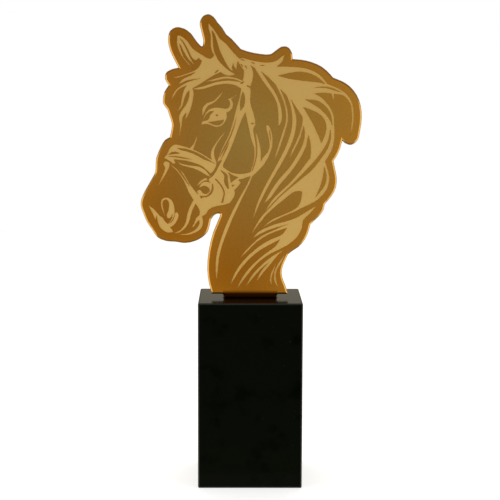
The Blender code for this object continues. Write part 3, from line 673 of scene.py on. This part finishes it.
class TROPHY_OT_plinth(bpy.types.Operator):
    """Build the stone plinth"""

    bl_idname = "trophy.plinth"
    bl_label = "Stone plinth"

    def execute(self, context):
        settings = context.scene.trophy_plinth
        block = stone_block(settings.arris)
        play = settings.slot_play
        half = TAB_HALF_WIDTH + play
        low = Vector((-half, PLATE_LOW.y - play, PLATE_LOW.z - play))
        high = Vector((half, PLATE_HIGH.y + play, PLINTH_HIGH.z))
        sink_slot(block, low, high)
        dress_block(block, black_stone(settings), ground_arris_highlight(settings))
        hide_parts(PLINTH_NODE)
        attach(block, BODY)
        return {"FINISHED"}


# Stage

# Camera, as found from the plinth's edges in the photograph
CAMERA_PLACE = (-0.006768, -0.671384, 0.190617)
CAMERA_TURN = math.radians(0.571)
CAMERA_DOWN = math.radians(6.623)
CAMERA_ROLL = math.radians(0.189)
CAMERA_LENS = 99.245
CAMERA_SENSOR = 36.0

# What the softboxes look at, and the place, width and height of each on the right or behind
LIT_POINT = (0, 0, 0.13)
SIDE_BOX = ((0.7, 0, 0.25), 0.3, 0.5)
FRONT_BOX = ((0.6, -0.6, 0.0), 0.5, 0.7)
HIGH_BOX = ((0, 0.45, 0.75), 0.6, 0.4)

# The room goes from its front grey to its rear one between these shares of the way back
ROOM_TURNS_FROM = -0.3
ROOM_TURNS_TO = 0.7


def add_camera():
    """The photograph's camera, level with the horse's forehead and looking a little down."""
    data = bpy.data.cameras.new("camera")
    data.lens = CAMERA_LENS
    data.sensor_width = CAMERA_SENSOR
    camera = bpy.data.objects.new("camera", data)
    bpy.context.scene.collection.objects.link(camera)
    ahead = Vector(
        (
            math.sin(CAMERA_TURN) * math.cos(CAMERA_DOWN),
            math.cos(CAMERA_TURN) * math.cos(CAMERA_DOWN),
            -math.sin(CAMERA_DOWN),
        )
    )
    level = Vector((math.cos(CAMERA_TURN), -math.sin(CAMERA_TURN), 0))
    upward = level.cross(ahead)
    right = math.cos(CAMERA_ROLL) * level + math.sin(CAMERA_ROLL) * upward
    upward = right.cross(ahead)
    turn = Matrix((right, upward, -ahead)).transposed()
    camera.matrix_world = Matrix.Translation(CAMERA_PLACE) @ turn.to_4x4()
    bpy.context.scene.camera = camera


def add_softbox(name, box, brightness, side=1):
    """A rectangular softbox that looks at the trophy, mirrored to the left if side is -1."""
    (across, back, up), width, height = box
    place = Vector((side * across, back, up))
    data = bpy.data.lights.new(name, "AREA")
    data.shape = "RECTANGLE"
    data.size = width
    data.size_y = height
    data.energy = brightness * math.pi * width * height
    light = bpy.data.objects.new(name, data)
    bpy.context.scene.collection.objects.link(light)
    light.location = place
    light.rotation_euler = (Vector(LIT_POINT) - place).to_track_quat("-Z", "Y").to_euler()
    light.visible_camera = False


def fill_world(settings):
    """A white backdrop for the camera, and a grey room, brighter behind, for reflections."""
    world = bpy.data.worlds.new("studio")
    world.use_nodes = True
    bpy.context.scene.world = world
    recipe = Recipe(world.node_tree)
    seen = recipe.node("ShaderNodeLightPath", {}, {}, "Is Camera Ray")
    ahead = recipe.along(recipe.node("ShaderNodeTexCoord", {}, {}, "Generated"), "Y")
    behind = ahead.between(ROOM_TURNS_FROM, ROOM_TURNS_TO)
    room = recipe.mix(behind, settings.room_front, settings.room_behind)
    colour = recipe.mix(seen, room, settings.backdrop)
    light = recipe.node("ShaderNodeBackground", {}, {"Color": colour, "Strength": 1.0})
    recipe.node("ShaderNodeOutputWorld", {}, {"Surface": light})


class TROPHY_OT_stage(bpy.types.Operator):
    """Set up the floor, the studio light and the camera"""

    bl_idname = "trophy.stage"
    bl_label = "Stage"

    def execute(self, context):
        settings = context.scene.trophy_stage
        deselect_all()
        middle = (0, settings.floor_front + settings.floor_side / 2, PLINTH_LOW.z)
        bpy.ops.mesh.primitive_plane_add(size=settings.floor_side, location=middle)
        floor = context.active_object
        floor.name = "floor"
        material, recipe = new_recipe("pale_floor")
        recipe.surface(
            Base_Color=settings.floor_colour,
            Roughness=0.9,
            Specular_IOR_Level=0.1,
            Emission_Color=(*WHITE, 1.0),
            Emission_Strength=0.6,
        )
        floor.data.materials.append(material)
        for name, side in (("left", -1), ("right", 1)):
            add_softbox(f"{name}_side_softbox", SIDE_BOX, settings.side_light, side)
            add_softbox(f"{name}_front_softbox", FRONT_BOX, settings.front_light, side)
        add_softbox("high_softbox", HIGH_BOX, settings.high_light)
        fill_world(settings)
        add_camera()
        context.scene.view_settings.view_transform = "Standard"
        return {"FINISHED"}


class TROPHY_PT_panel(bpy.types.Panel):
    """The trophy's pieces and settings"""

    bl_idname = "TROPHY_PT_panel"
    bl_label = "Horse head trophy"
    bl_space_type = "VIEW_3D"
    bl_region_type = "UI"
    bl_category = "Trophy"

    def draw(self, context):
        for operator, group in (
            ("trophy.plate", "trophy_plate"),
            ("trophy.plinth", "trophy_plinth"),
            ("trophy.stage", "trophy_stage"),
        ):
            box = self.layout.box()
            box.operator(operator)
            settings = getattr(context.scene, group)
            for name in settings.__annotations__:
                box.prop(settings, name)


CLASSES = (
    PlateSettings,
    PlinthSettings,
    StageSettings,
    TROPHY_OT_plate,
    TROPHY_OT_plinth,
    TROPHY_OT_stage,
    TROPHY_PT_panel,
)


def register():
    """Adds the classes and the scene's settings."""
    for made in CLASSES:
        bpy.utils.register_class(made)
    bpy.types.Scene.trophy_plate = PointerProperty(type=PlateSettings)
    bpy.types.Scene.trophy_plinth = PointerProperty(type=PlinthSettings)
    bpy.types.Scene.trophy_stage = PointerProperty(type=StageSettings)


def unregister():
    """Takes the classes and settings away again."""
    del bpy.types.Scene.trophy_stage
    del bpy.types.Scene.trophy_plinth
    del bpy.types.Scene.trophy_plate
    for made in reversed(CLASSES):
        bpy.utils.unregister_class(made)


def main():
    """Builds the trophy."""
    register()
    bpy.ops.trophy.plinth()
    bpy.ops.trophy.plate()
    bpy.ops.trophy.stage()


if __name__ == "__main__":
    main()
